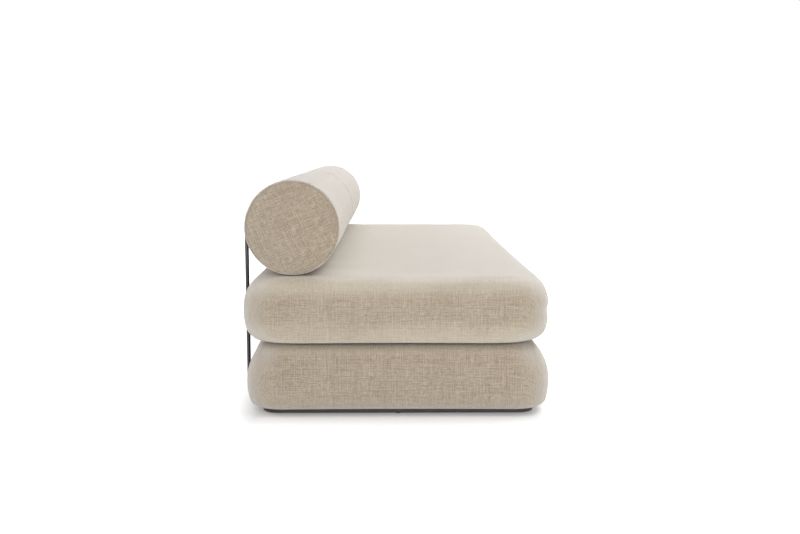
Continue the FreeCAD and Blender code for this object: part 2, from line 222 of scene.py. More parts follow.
def add_piece(name, points, faces):
    mesh = bpy.data.meshes.new(name)
    mesh.from_pydata([tuple(p) for p in points], [], faces)
    mesh.validate()
    piece = bpy.data.objects.new(name, mesh)
    bpy.context.scene.collection.objects.link(piece)
    return piece


def points_of(mesh):
    flat = np.zeros(len(mesh.vertices) * 3)
    mesh.vertices.foreach_get("co", flat)
    return flat.reshape(-1, 3)


def normals_of(mesh):
    flat = np.zeros(len(mesh.vertices) * 3)
    mesh.vertex_normals.foreach_get("vector", flat)
    return flat.reshape(-1, 3)


def set_points(mesh, points):
    mesh.vertices.foreach_set("co", np.asarray(points).ravel())
    mesh.update()


def shade_smooth(piece):
    piece.data.polygons.foreach_set("use_smooth", [True] * len(piece.data.polygons))


def apply_modifiers(piece):
    """Replaces the piece's mesh by what its modifiers make of it."""
    seen = piece.evaluated_get(bpy.context.evaluated_depsgraph_get())
    made = bpy.data.meshes.new_from_object(seen)
    old = piece.data
    piece.modifiers.clear()
    piece.data = made
    bpy.data.meshes.remove(old)
    made.name = piece.name


def store_weave(piece, along, across):
    """Keeps where the cloth's two threads run, as lengths on the unfolded cover."""
    values = np.stack([along, across, np.zeros_like(along)], axis=1)
    layer = piece.data.attributes.new("weave", "FLOAT_VECTOR", "POINT")
    layer.data.foreach_set("vector", values.astype(np.float32).ravel())


def store_share(piece, name, values):
    """Keeps one number for each point, for the finishes to read."""
    layer = piece.data.attributes.new(name, "FLOAT", "POINT")
    layer.data.foreach_set("value", values.astype(np.float32))


def ring_faces(rows, around):
    """Quads between neighbouring closed rings of points."""
    faces = []
    for row in range(rows - 1):
        for step in range(around):
            following = (step + 1) % around
            a = row * around + step
            b = row * around + following
            faces.append((a, b, b + around, a + around))
    return faces


def waves(points, size, seed):
    """Smooth noise from about -1 to 1 at each point, with swells of about the given size."""
    shift = Vector((seed * 7.31, seed * 3.17, seed * 5.73))
    return np.array([noise.noise(Vector(p) / size + shift) for p in points])


def smooth_step(value, low, high):
    share = np.clip((value - low) / (high - low), 0.0, 1.0)
    return share * share * (3 - 2 * share)


# Finishes


def new_material(name):
    finish = bpy.data.materials.new(name)
    finish.use_nodes = True
    tree = finish.node_tree
    return finish, tree, tree.nodes["Principled BSDF"]


def link(tree, source, target):
    tree.links.new(source, target)


def math_node(tree, operation, first, second=None):
    made = tree.nodes.new("ShaderNodeMath")
    made.operation = operation
    for socket, value in zip(made.inputs, (first, second)):
        if value is None:
            continue
        if isinstance(value, (int, float)):
            socket.default_value = value
        else:
            link(tree, value, socket)
    return made.outputs[0]


def scaled(tree, vector, scale):
    made = tree.nodes.new("ShaderNodeVectorMath")
    made.operation = "MULTIPLY"
    link(tree, vector, made.inputs[0])
    made.inputs[1].default_value = scale
    return made.outputs[0]


def noise_node(tree, vector, scale, detail=2.0, roughness=0.5):
    made = tree.nodes.new("ShaderNodeTexNoise")
    made.inputs["Scale"].default_value = scale
    made.inputs["Detail"].default_value = detail
    made.inputs["Roughness"].default_value = roughness
    link(tree, vector, made.inputs["Vector"])
    return made.outputs[0]


def ramp(tree, value, stops):
    made = tree.nodes.new("ShaderNodeValToRGB")
    elements = made.color_ramp.elements
    while len(elements) < len(stops):
        elements.new(0.5)
    for element, (place, colour) in zip(elements, stops):
        element.position = place
        element.color = (*colour, 1.0)
    link(tree, value, made.inputs[0])
    return made.outputs[0]


def stretch(tree, value, low, high, new_low=0.0, new_high=1.0):
    made = tree.nodes.new("ShaderNodeMapRange")
    made.inputs["From Min"].default_value = low
    made.inputs["From Max"].default_value = high
    made.inputs["To Min"].default_value = new_low
    made.inputs["To Max"].default_value = new_high
    link(tree, value, made.inputs["Value"])
    return made.outputs[0]


def bump(tree, shader, height, strength, distance):
    made = tree.nodes.new("ShaderNodeBump")
    made.inputs["Strength"].default_value = strength
    made.inputs["Distance"].default_value = distance
    link(tree, height, made.inputs["Height"])
    link(tree, made.outputs[0], shader.inputs["Normal"])


def object_vector(tree):
    return tree.nodes.new("ShaderNodeTexCoord").outputs["Object"]


def stored(tree, name, output):
    """What the mesh keeps under a name."""
    made = tree.nodes.new("ShaderNodeAttribute")
    made.attribute_name = name
    return made.outputs[output]


def axes_of(tree, vector):
    made = tree.nodes.new("ShaderNodeSeparateXYZ")
    link(tree, vector, made.inputs[0])
    return made.outputs


def paint(tree, shader, value, stops):
    link(tree, ramp(tree, value, stops), shader.inputs["Base Color"])


def roughen(tree, shader, value, low, high, rough_low, rough_high):
    link(tree, stretch(tree, value, low, high, rough_low, rough_high), shader.inputs["Roughness"])


SLUB_LENGTH = 0.012
SLUB_WIDTH = 0.0026
SLUB_SHARE = 0.50
THREAD_LENGTH = 0.090
THREAD_WIDTH = 0.0024
THREAD_SHARE = 0.38
THREAD_PITCH = 0.0024
THREAD_SHIFT = 23.0
THREAD_LANES = 0.9
THREAD_CONTRAST = (0.91, 1.09)
CROSSING_SHARE = 0.25
CLOUD_SIZE = 0.09
CLOUD_SHARE = 0.12
# Painted sheen, light and shade mixed into the cloth's colour: how the slant's paleness falls, its share and
# pale colour, and the painted light's colour
PAINTED_SHEEN_FALL = 0.9
PAINTED_SHEEN_SHARE = 0.58
PAINTED_SHEEN_COLOUR = (0.82, 0.785, 0.74, 1.0)
LIT_COLOUR = (0.68, 0.62, 0.50, 1.0)


def threads(tree, along, across, length, width):
    """Uneven threads of one way: each swells and thins along its length, at places of its own."""
    lanes = math_node(tree, "DIVIDE", across, width)
    lane = tree.nodes.new("ShaderNodeCombineXYZ")
    link(tree, lanes, lane.inputs["Y"])
    own = noise_node(tree, lane.outputs[0], THREAD_LANES, detail=1.0)
    start = math_node(tree, "MULTIPLY", own, THREAD_SHIFT)
    place = tree.nodes.new("ShaderNodeCombineXYZ")
    link(tree, math_node(tree, "ADD", math_node(tree, "DIVIDE", along, length), start), place.inputs["X"])
    link(tree, lanes, place.inputs["Y"])
    return noise_node(tree, place.outputs[0], 1.0, detail=1.0)


def crossed(tree, ways, length, width):
    """Uneven threads of both ways, from 0 for thin to 1 for thick ones."""
    warp = threads(tree, ways[0], ways[1], length, width)
    weft = threads(tree, ways[1], ways[0], length, width)
    return stretch(tree, math_node(tree, "ADD", warp, weft), *THREAD_CONTRAST)


def mixed(tree, share, colour, other):
    made = tree.nodes.new("ShaderNodeMix")
    made.data_type = "RGBA"
    link(tree, share, made.inputs["Factor"])
    link(tree, colour, made.inputs["A"])
    made.inputs["B"].default_value = other
    return made.outputs["Result"]


def paint_sheen_light_and_shade(tree, colour):
    """Painted sheen in the base colour: paler when seen at a slant; one stored share mixes in painted light,
    another takes the sheen away as painted shade.
    """
    slant = tree.nodes.new("ShaderNodeLayerWeight")
    slant.inputs["Blend"].default_value = 0.5
    grazing = math_node(tree, "POWER", slant.outputs["Facing"], PAINTED_SHEEN_FALL)
    sheen_share = math_node(tree, "MULTIPLY", grazing, PAINTED_SHEEN_SHARE)
    # Painted shade: the sheen's paleness is taken away by the stored share, darkening there
    unshaded = math_node(tree, "SUBTRACT", 1.0, stored(tree, "painted_shade", "Fac"))
    sheen_share = math_node(tree, "MULTIPLY", sheen_share, unshaded)
    # Painted light: the colour is mixed towards a pale warm colour by the stored share
    lit_colour = mixed(tree, stored(tree, "painted_light", "Fac"), colour, LIT_COLOUR)
    return mixed(tree, sheen_share, lit_colour, PAINTED_SHEEN_COLOUR)


def upholstery_material():
    """Beige slub weave with a short soft pile."""
    finish, tree, shader = new_material("upholstery")
    weave = stored(tree, "weave", "Vector")
    ways = axes_of(tree, weave)
    slubs = crossed(tree, ways, SLUB_LENGTH, SLUB_WIDTH)
    long_threads = crossed(tree, ways, THREAD_LENGTH, THREAD_WIDTH)
    cloud = noise_node(tree, weave, 1 / CLOUD_SIZE, detail=4.0, roughness=0.6)
    tone = math_node(tree, "MULTIPLY", slubs, SLUB_SHARE)
    tone = math_node(tree, "ADD", tone, math_node(tree, "MULTIPLY", long_threads, THREAD_SHARE))
    tone = math_node(tree, "ADD", tone, math_node(tree, "MULTIPLY", cloud, CLOUD_SHARE))
    colour = ramp(tree, tone, [
        (0.18, (0.270, 0.212, 0.147)),
        (0.50, (0.396, 0.324, 0.240)),
        (0.82, (0.540, 0.464, 0.370)),
    ])
    # Base colour carries painted sheen, painted light and painted shade
    link(tree, paint_sheen_light_and_shade(tree, colour), shader.inputs["Base Color"])
    turns = 2 * math.pi / THREAD_PITCH
    along = math_node(tree, "SINE", math_node(tree, "MULTIPLY", ways[0], turns))
    across = math_node(tree, "SINE", math_node(tree, "MULTIPLY", ways[1], turns))
    crossings = math_node(tree, "MULTIPLY", along, across)
    height = math_node(tree, "ADD", math_node(tree, "MULTIPLY", crossings, CROSSING_SHARE), slubs)
    bump(tree, shader, height, 0.45, 0.0007)
    roughen(tree, shader, slubs, 0.0, 1.0, 0.95, 0.80)
    shader.inputs["Specular IOR Level"].default_value = 0.15
    shader.inputs["Sheen Weight"].default_value = 0.5
    shader.inputs["Sheen Roughness"].default_value = 0.45
    shader.inputs["Sheen Tint"].default_value = WHITE
    return finish


def dark_cloth_material():
    """Thin black spunbond cloth with its pressed dots."""
    finish, tree, shader = new_material("dark_cloth")
    where = object_vector(tree)
    dots = tree.nodes.new("ShaderNodeTexVoronoi")
    dots.inputs["Scale"].default_value = 350.0
    dots.inputs["Randomness"].default_value = 0.1
    link(tree, where, dots.inputs["Vector"])
    fibres = noise_node(tree, where, 900.0, detail=3.0)
    tone = math_node(tree, "MULTIPLY", dots.outputs["Distance"], fibres)
    paint(tree, shader, tone, [(0.0, (0.012, 0.012, 0.013)), (1.0, (0.060, 0.060, 0.062))])
    roughen(tree, shader, fibres, 0.0, 1.0, 0.75, 0.95)
    bump(tree, shader, dots.outputs["Distance"], 0.4, 0.0005)
    return finish


HERRINGBONE = 0.005
RIB_PITCH = 0.0016


def webbing_material():
    """Black herringbone webbing."""
    finish, tree, shader = new_material("webbing")
    ways = axes_of(tree, stored(tree, "weave", "Vector"))
    zigzag = math_node(tree, "PINGPONG", ways[0], HERRINGBONE)
    slant = math_node(tree, "ADD", ways[1], zigzag)
    ribs = math_node(tree, "SINE", math_node(tree, "MULTIPLY", slant, 2 * math.pi / RIB_PITCH))
    raised = stretch(tree, ribs, -1.0, 1.0)
    paint(tree, shader, raised, [(0.0, (0.008, 0.008, 0.009)), (1.0, (0.035, 0.035, 0.037))])
    roughen(tree, shader, ribs, -1.0, 1.0, 0.8, 0.6)
    bump(tree, shader, ribs, 0.5, 0.0003)
    return finish


def thread_material():
    finish, tree, shader = new_material("sewing_thread")
    twist = noise_node(tree, object_vector(tree), 1500.0)
    paint(tree, shader, twist, [(0.2, (0.02, 0.02, 0.02)), (0.8, (0.07, 0.07, 0.07))])
    shader.inputs["Roughness"].default_value = 0.6
    return finish


def timber_material():
    """Sawn pine: growth rings drawn out along the piece."""
    finish, tree, shader = new_material("timber")
    grain = scaled(tree, object_vector(tree), (6.0, 6.0, 60.0))
    bands = noise_node(tree, grain, 2.5, detail=5.0, roughness=0.6)
    paint(tree, shader, bands, [
        (0.25, (0.36, 0.22, 0.11)),
        (0.55, (0.55, 0.37, 0.20)),
        (0.80, (0.66, 0.48, 0.28)),
    ])
    roughen(tree, shader, bands, 0.0, 1.0, 0.75, 0.55)
    bump(tree, shader, bands, 0.2, 0.0006)
    return finish


def plinth_material():
    """Black stained wood, with a faint grain in the satin."""
    finish, tree, shader = new_material("plinth")
    grain = noise_node(tree, scaled(tree, object_vector(tree), (8.0, 8.0, 90.0)), 3.0, detail=4.0)
    paint(tree, shader, grain, [(0.3, (0.020, 0.018, 0.017)), (0.7, (0.044, 0.040, 0.037))])
    roughen(tree, shader, grain, 0.0, 1.0, 0.55, 0.35)
    bump(tree, shader, grain, 0.15, 0.0004)
    return finish


def black_steel_material():
    """Gloss black powder coat with the orange peel that it dries to."""
    finish, tree, shader = new_material("black_steel")
    where = object_vector(tree)
    peel = noise_node(tree, where, 420.0, detail=1.0)
    worn = noise_node(tree, where, 30.0, detail=4.0)
    paint(tree, shader, worn, [(0.3, (0.006, 0.006, 0.007)), (0.8, (0.014, 0.014, 0.015))])
    roughen(tree, shader, worn, 0.3, 0.8, 0.12, 0.22)
    shader.inputs["Metallic"].default_value = 0.6
    shader.inputs["Coat Weight"].default_value = 0.7
    shader.inputs["Coat IOR"].default_value = 1.55
    shader.inputs["Coat Roughness"].default_value = 0.06
    bump(tree, shader, peel, 0.10, 0.0004)
    return finish


def zinc_material():
    finish, tree, shader = new_material("zinc_steel")
    spangle = noise_node(tree, object_vector(tree), 240.0, detail=3.0)
    paint(tree, shader, spangle, [(0.3, (0.46, 0.47, 0.49)), (0.7, (0.62, 0.63, 0.65))])
    roughen(tree, shader, spangle, 0.0, 1.0, 0.28, 0.48)
    shader.inputs["Metallic"].default_value = 1.0
    return finish


def glide_material():
    finish, tree, shader = new_material("glide")
    scuffs = noise_node(tree, object_vector(tree), 160.0, detail=4.0)
    paint(tree, shader, scuffs, [(0.3, (0.022, 0.022, 0.022)), (0.8, (0.060, 0.060, 0.060))])
    roughen(tree, shader, scuffs, 0.0, 1.0, 0.5, 0.8)
    return finish


def foam_material():
    finish, tree, shader = new_material("foam")
    cells = tree.nodes.new("ShaderNodeTexVoronoi")
    cells.inputs["Scale"].default_value = 700.0
    link(tree, object_vector(tree), cells.inputs["Vector"])
    walls = cells.outputs["Distance"]
    paint(tree, shader, walls, [(0.0, (0.62, 0.56, 0.40)), (1.0, (0.78, 0.73, 0.58))])
    shader.inputs["Roughness"].default_value = 0.95
    bump(tree, shader, walls, 0.5, 0.0006)
    return finish


finishes = {
    "upholstery": upholstery_material(),
    "dark_cloth": dark_cloth_material(),
    "webbing": webbing_material(),
    "timber": timber_material(),
    "plinth": plinth_material(),
    "black_steel": black_steel_material(),
    "zinc_steel": zinc_material(),
    "glide": glide_material(),
    "foam": foam_material(),
}
thread_finish = thread_material()

for row in frame["record"]["subparts"]:
    for place in frame["nodes"][row["node"]].material_slots:
        place.material = finishes[row["material_slot"]]


# Mattresses


class Roll:
    """Where a bolster lies: its axis, its length between the seams and its radius."""

    def __init__(self, side):
        low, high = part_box("bolster_%s_sleeve" % side)
        self.centre = (low + high) / 2
        self.half = (high.x - low.x) / 2
        self.radius = (high.z - low.z) / 2 + ROLL_FULLNESS
        self.seam_radius = self.radius - ROLL_CROWN - SEAM_INSET


class Cushion:
    """Where a mattress stands, and how its edges are rounded."""

    def __init__(self, node, tucks, widest, crown):
        self.low, self.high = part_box(node)
        self.tucks = tucks
        self.widest = widest
        self.crown = crown
        self.centre = (self.low + self.high) / 2
        self.half_x = (self.high.x - self.low.x) / 2
        self.half_y = (self.high.y - self.low.y) / 2
        self.height = self.high.z - self.low.z


def outline(half_x, half_y, radius):
    """Points round a cushion: sides drawn in a little between round corners."""
    points = []
    for index, (side_x, side_y) in enumerate(((1, 1), (-1, 1), (-1, -1), (1, -1))):
        for step in range(CORNER_POINTS + 1):
            angle = math.pi / 2 * (index + step / CORNER_POINTS)
            x = side_x * (half_x - radius) + radius * math.cos(angle)
            y = side_y * (half_y - radius) + radius * math.sin(angle)
            points.append((x, y))
        for step in range(1, SIDE_POINTS):
            share = 2 * step / SIDE_POINTS - 1
            if index % 2 == 0:
                pull = LONG_SIDE_DRAW * (1 - share * share)
                points.append((-share * side_x * (half_x - radius), side_y * (half_y - pull)))
            else:
                pull = SHORT_SIDE_DRAW * (1 - share * share)
                points.append((side_x * (half_x - pull), -share * side_y * (half_y - radius)))
    return points


def crown_rise(form, inset):
    """Height that the crown adds at a distance in from the outline."""
    share = min(inset / CROWN_REACH, 1.0)
    return form.crown * (1 - (1 - share) ** 2)


def cushion_rows(form):
    """Inset and height of each ring, from the underside up over the edge to the crown."""
    low_tuck, high_tuck = form.tucks
    edge_top = form.height - form.crown
    if form.crown:
        edge_top -= START_INSET
    rows = []
    for step in range(EDGE_STEPS):
        angle = math.pi / 2 * step / EDGE_STEPS
        rise = (form.widest - BOTTOM_ROOM) * (1 - math.cos(angle))
        rows.append((low_tuck * (1 - math.sin(angle)), BOTTOM_ROOM + rise))
    for step in range(EDGE_STEPS, -1, -1):
        angle = math.pi / 2 * step / EDGE_STEPS
        fall = (edge_top - form.widest) * (1 - math.cos(angle))
        inset = high_tuck * (1 - math.sin(angle))
        rows.append((inset, edge_top - fall + crown_rise(form, inset)))
    if form.crown:
        for step in range(1, CROWN_STEPS + 1):
            share = step / CROWN_STEPS
            inset = high_tuck + share * (CROWN_REACH - high_tuck)
            rows.append((inset, edge_top + crown_rise(form, inset)))
    return rows


def cushion_piece(name, form):
    """Closed cushion in even quads, a little smaller than its solid."""
    points = []
    rows = cushion_rows(form)
    for inset, height in rows:
        inset += START_INSET
        for x, y in outline(form.half_x - inset, form.half_y - inset, CORNER_RADIUS):
            points.append((form.centre.x + x, form.centre.y + y, form.low.z + height))
    around = len(points) // len(rows)
    faces = ring_faces(len(rows), around)
    faces.append(tuple(range(around - 1, -1, -1)))
    faces.append(tuple(range((len(rows) - 1) * around, len(rows) * around)))
    piece = add_piece(name, points, faces)
    remesh = piece.modifiers.new("even", "REMESH")
    remesh.mode = "VOXEL"
    remesh.voxel_size = VOXEL
    apply_modifiers(piece)
    return piece


def swell(piece, held, cap):
    """Blows a cover up a little, as its filling does: outward only, and nowhere further than cap."""
    start = points_of(piece.data)
    outward = normals_of(piece.data)
    group = piece.vertex_groups.new(name="held")
    group.add(np.flatnonzero(held).tolist(), 1.0, "REPLACE")
    cloth = piece.modifiers.new("swell", "CLOTH")
    cloth.settings.quality = 5
    cloth.settings.use_pressure = True
    cloth.settings.uniform_pressure_force = SWELL_PRESSURE
    cloth.settings.effector_weights.gravity = 0.0
    cloth.settings.vertex_group_mass = group.name
    cloth.point_cache.frame_start = 1
    cloth.point_cache.frame_end = SWELL_FRAMES
    for number in range(1, SWELL_FRAMES + 1):
        bpy.context.scene.frame_set(number)
    seen = piece.evaluated_get(bpy.context.evaluated_depsgraph_get())
    move = points_of(seen.data) - start
    piece.modifiers.remove(cloth)
    piece.vertex_groups.remove(group)
    bpy.context.scene.frame_set(1)
    swollen = np.maximum((move * outward).sum(axis=1), 0.0)
    set_points(piece.data, start + outward * (cap * np.tanh(swollen / cap))[:, None])


def subdivide(piece):
    fine = piece.modifiers.new("fine", "SUBSURF")
    fine.levels = 1
    fine.render_levels = 1
    apply_modifiers(piece)


def unfold(piece, form):
    """Lengths along and across the cover, measured over its edges from the middle of its top."""
    x, y, z = (points_of(piece.data) - np.array(form.centre)).T
    gap_x = form.half_x - np.abs(x)
    gap_y = form.half_y - np.abs(y)
    to_end = smooth_step(gap_y - gap_x, -CORNER_RADIUS, CORNER_RADIUS)
    under = np.where(z < 0, 2 * np.minimum(gap_x, gap_y), 0.0)
    fall = form.height / 2 - z + np.maximum(under, 0.0)
    along = np.sign(x) * (np.abs(x) + to_end * fall)
    across = np.sign(y) * (np.abs(y) + (1 - to_end) * fall)
    store_weave(piece, along, across)


def soften(piece, form, seed, edge_depth):
    """Gentle hollows all over, and short creases just below the top edge."""
    points = points_of(piece.data)
    normals = normals_of(piece.data)
    height = (points[:, 2] - form.low.z) / form.height
    free = smooth_step(height, *HOLLOW_START)
    hollows = HOLLOW_DEPTHS[0] * waves(points, HOLLOW_SIZES[0], seed)
    hollows = hollows + HOLLOW_DEPTHS[1] * waves(points, HOLLOW_SIZES[1], seed + 1)
    band = smooth_step(height, *CREASE_RISE) * (1 - smooth_step(height, *CREASE_FADE))
    slanted = points * np.array([1.0, 1.0, CREASE_SLANT])
    creases = np.minimum(waves(slanted, CREASE_SIZE, seed + 2), 0.0) * band * edge_depth
    move = hollows * free + creases
    if not form.crown:
        move = move * smooth_step(np.abs(normals[:, 2] - 1.0), 0.0, LEVEL_SHARE)
    set_points(piece.data, points + normals * move[:, None])


def paint_light_bands(piece, form):
    """Painted light: makes the colour unevenly paler along the lower and upper edges of the upper mattress,
    a little all over it, on its seat before the bolsters and along the base's top edge.
    """
    points = points_of(piece.data)
    height = (points[:, 2] - form.low.z) / form.height
    swirl = waves(points * np.array([1.0, 1.0, 2.0]), LIT_SIZE, LIT_SEED)
    if form.crown:
        lower = 1 - smooth_step(height, *LIT_LOWER_FADE)
        upper = smooth_step(height, *LIT_UPPER_RISE) * (1 - smooth_step(height, *LIT_UPPER_FADE))
        ahead = Roll("left").centre.y - points[:, 1]
        by_roll = np.exp(-((ahead / LIT_REACH) ** 2)) * smooth_step(ahead, *LIT_START)
        by_roll *= smooth_step(height, *TOP_BAND_RISE) * smooth_step(from_edges(points, form)[0], *LIT_END)
        painted_light = (LIT_LOWER * lower + LIT_UPPER * upper + LIT_ALL) * (1 + LIT_UNEVEN * swirl)
        painted_light += LIT_BY_ROLL * by_roll * (1 + LIT_UNEVEN_BY_ROLL * swirl)
    else:
        painted_light = LIT_BASE * smooth_step(height, *LIT_BASE_RISE) * (1 + LIT_UNEVEN * swirl)
    store_share(piece, "painted_light", np.clip(painted_light, 0.0, 1.0))


def paint_shade(piece, form):
    """Painted shade: takes the painted sheen away, darkening the colour, on the seat before and under the
    bolsters, on the upper mattress's underside and on the base's top.
    """
    points = points_of(piece.data)
    height = (points[:, 2] - form.low.z) / form.height
    if form.crown:
        ahead = Roll("left").centre.y - points[:, 1]
        by_roll = SHADED_BY_ROLL * np.exp(-((ahead / SHADED_REACH) ** 2)) + np.exp(-((ahead / SHADED_CONTACT) ** 2))
        painted_shade = by_roll * smooth_step(height, *TOP_BAND_RISE) + 1 - smooth_step(height, *SHADED_BELOW)
    else:
        painted_shade = smooth_step(height, *SHADED_BASE_RISE)
    store_share(piece, "painted_shade", np.clip(painted_shade, 0.0, 1.0))


def fill_edges(piece, front, end, rear):
    """Makes the round edges fuller half-way over the turn, at the front, the ends and the rear."""
    points = points_of(piece.data)
    normals = normals_of(piece.data)
    steep = np.abs(normals[:, 2])
    turn = 4 * steep * (1 - steep)
    to_front = smooth_step(-normals[:, 1], 0.0, 0.5)
    to_rear = smooth_step(normals[:, 1], 0.0, 0.5)
    fullness = end + (front - end) * to_front + (rear - end) * to_rear
    normals[:, 2] = np.maximum(normals[:, 2], 0.0)
    set_points(piece.data, points + normals * (turn * fullness)[:, None])


def from_edges(points, form):
    """How far in each point lies from the ends and the long sides, and how near to their middles."""
    gap_x = form.half_x - np.abs(points[:, 0] - form.centre.x)
    gap_y = form.half_y - np.abs(points[:, 1] - form.centre.y)
    return gap_x, gap_y, smooth_step(gap_y, *MID_END), smooth_step(gap_x, *MID_SIDE)


def square_edge(piece, form, tuck, reach, away, end_power, rear_power):
    """Makes an edge squarer at the ends and along the rear, from how far points are past the widest ring."""
    points = points_of(piece.data)
    normals = normals_of(piece.data)
    gap_x, gap_y, mid_end, mid_side = from_edges(points, form)
    to_end = smooth_step(gap_y - gap_x, -CORNER_RADIUS, CORNER_RADIUS)
    to_rear = (1 - to_end) * mid_side * (points[:, 1] > form.centre.y)
    power = ROUND + (end_power - ROUND) * to_end * mid_end + (rear_power - ROUND) * to_rear
    turned = np.clip(away / reach, 0.0, 1.0)
    side = np.sqrt(1 - turned * turned)
    growth = (side ** power + turned ** power) ** (-1 / power) - 1
    outward = normals[:, :2] / np.maximum(np.linalg.norm(normals[:, :2], axis=1), 1e-6)[:, None]
    points[:, :2] += outward * (tuck * side * growth)[:, None]
    points[:, 2] += np.sign(normals[:, 2]) * reach * turned * growth
    set_points(piece.data, points)


def square_top_edge(piece, form):
    """Squarer top edge of the base, which slumps a little at the ends."""
    widest = form.low.z + form.widest
    reach = form.height - form.widest
    away = points_of(piece.data)[:, 2] - widest
    square_edge(piece, form, form.tucks[1], reach, away, BASE_SQUARENESS, REAR_SQUARENESS)
    points = points_of(piece.data)
    gap_x, _, mid_end, _ = from_edges(points, form)
    high = smooth_step((points[:, 2] - widest) / reach, *SLUMP_RISE)
    points[:, 2] -= SLUMP_DEPTH * mid_end * (1 - smooth_step(gap_x, *SLUMP_REACH)) * high
    set_points(piece.data, points)


def square_low_edge(piece, form):
    """Squarer lower edge of the upper mattress."""
    widest = form.low.z + form.widest
    away = widest - points_of(piece.data)[:, 2]
    square_edge(piece, form, form.tucks[0], form.widest - BOTTOM_ROOM, away, UPPER_SQUARENESS, ROUND)


def lift_rim(piece, form):
    """Raises the lower edge of the upper mattress a little along the sides, and at the corners."""
    points = points_of(piece.data)
    gap_x, gap_y, mid_end, mid_side = from_edges(points, form)
    near_end = 1 - smooth_step(gap_x, *LIFT_END)
    near_side = 1 - smooth_step(gap_y, *LIFT_SIDE)
    low = 1 - smooth_step((points[:, 2] - form.low.z) / form.height, *LIFT_FADE)
    uneven = 1 + RIM_UNEVEN * waves(points, RIM_SIZE, RIM_SEED)
    end_rim = (1 - smooth_step(gap_x, *RIM_LIFT_REACH)) * mid_end
    side_rim = (1 - smooth_step(gap_y, *RIM_LIFT_REACH)) * mid_side
    rim = np.maximum(end_rim, side_rim)
    points[:, 2] += (LIFT * near_end * near_side + RIM_LIFT * rim) * low * uneven
    set_points(piece.data, points)


def pull_by_bolsters(piece, form):
    """Sinks the top under the bolsters, swells it round their ends and creases it just in front of them."""
    points = points_of(piece.data)
    rise = smooth_step((points[:, 2] - form.low.z) / form.height, *SEAT_RISE)
    ahead = Roll("left").centre.y - points[:, 1]
    sink = np.exp(-((ahead / SINK_REACH) ** 2)) * SINK_DEPTH
    lines = points * np.array([1.0, FOLD_SLANT, 0.0])
    reach = smooth_step(ahead, *PULL_START) * (1 - smooth_step(ahead, *PULL_END))
    patches = smooth_step(waves(lines, FOLD_PATCHES, FOLD_SEEDS[1]), *FOLD_SHARE)
    folds = np.minimum(waves(lines, FOLD_SIZE, FOLD_SEEDS[0]), 0.0) * patches
    end = 1 - smooth_step(form.half_x - np.abs(points[:, 0] - form.centre.x), *SQUEEZE_END)
    squeeze = np.exp(-((ahead / SQUEEZE_REACH) ** 2)) * end * SQUEEZE_RISE
    points[:, 2] += rise * (PULL_DEPTH * folds * reach - sink * (1 - end) + squeeze)
    set_points(piece.data, points)


def mattress(name, body, form, nodes, seed, edge_depth):
    piece = cushion_piece(name, form)
    points = points_of(piece.data)
    flat = points[:, 2] < form.low.z + HELD_FLAT
    if not form.crown:
        flat |= points[:, 2] > form.high.z - HELD_FLAT
    swell(piece, flat, SWELL_CAP)
    subdivide(piece)
    soften(piece, form, seed, edge_depth)
    if not form.crown:
        square_top_edge(piece, form)
    else:
        square_low_edge(piece, form)
        fill_edges(piece, *UPPER_FULLNESS)
        lift_rim(piece, form)
        pull_by_bolsters(piece, form)
    paint_light_bands(piece, form)
    paint_shade(piece, form)
    unfold(piece, form)
    shade_smooth(piece)
    piece.data.materials.clear()
    piece.data.materials.append(finishes["upholstery"])
    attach(piece, body)
    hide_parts(*nodes)
    return piece


base_form = Cushion("base_cover", BASE_TUCKS, BASE_WIDEST, 0.0)
upper_form = Cushion("upper_cover", UPPER_TUCKS, UPPER_WIDEST, UPPER_CROWN)
base_piece = mattress(
    "base_upholstery", "base", base_form,
    ["base_cover", "base_border_foam", "base_pad_foam"], BASE_SEED, BASE_CREASES,
)
upper_piece = mattress(
    "upper_mattress_upholstery", "upper_mattress", upper_form,
    ["upper_cover", "upper_bottom_foam", "upper_core_foam", "upper_top_foam"],
    UPPER_SEED, UPPER_CREASES,
)


# Cloths on the undersides

CLOTH_STEP = 0.05
CLOTH_HEM = 0.012
CLOTH_THICKNESS = 0.0003


def hemmed(low, high, steps):
    """Places across a cloth: even steps, with one more for the hem at each edge."""
    return [low, low + CLOTH_HEM, *np.linspace(low, high, steps + 1)[1:-1], high - CLOTH_HEM, high]


def underside_cloth(name, body, node):
    """Thin cloth stretched over an underside, with its hem turned in."""
    low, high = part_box(node)
    columns = round((high.x - low.x) / CLOTH_STEP)
    rows = round((high.y - low.y) / CLOTH_STEP)
    xs = hemmed(low.x, high.x, columns)
    ys = hemmed(low.y, high.y, rows)
    level = low.z + BOTTOM_ROOM / 4
    points = []
    for i, y in enumerate(ys):
        for j, x in enumerate(xs):
            inside = 1 < i < len(ys) - 2 and 1 < j < len(xs) - 2
            points.append((x, y, level + (BOTTOM_ROOM / 6 if inside else 0.0)))
    wide = len(xs)
    faces = []
    for i in range(len(ys) - 1):
        for j in range(wide - 1):
            a = i * wide + j
            faces.append((a, a + wide, a + wide + 1, a + 1))
    piece = add_piece(name, points, faces)
    thick = piece.modifiers.new("thickness", "SOLIDIFY")
    thick.thickness = CLOTH_THICKNESS
    thick.offset = -1.0
    apply_modifiers(piece)
    piece.data.materials.append(finishes["dark_cloth"])
    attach(piece, body)
    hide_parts(node)


underside_cloth("base_dust_cover", "base", "base_dust_cloth")
underside_cloth("upper_mattress_underside", "upper_mattress", "upper_underside")


# Bolsters


def lathe(name, roll, profile):
    """Rings of points about the roll's axis, one for each place along it and radius."""
    points = []
    for along, radius in profile:
        for step in range(ROLL_TURN_POINTS):
            angle = 2 * math.pi * step / ROLL_TURN_POINTS
            y = roll.centre.y + radius * math.sin(angle)
            z = roll.centre.z + radius * math.cos(angle)
            points.append((roll.centre.x + along, y, z))
    return add_piece(name, points, ring_faces(len(profile), ROLL_TURN_POINTS))


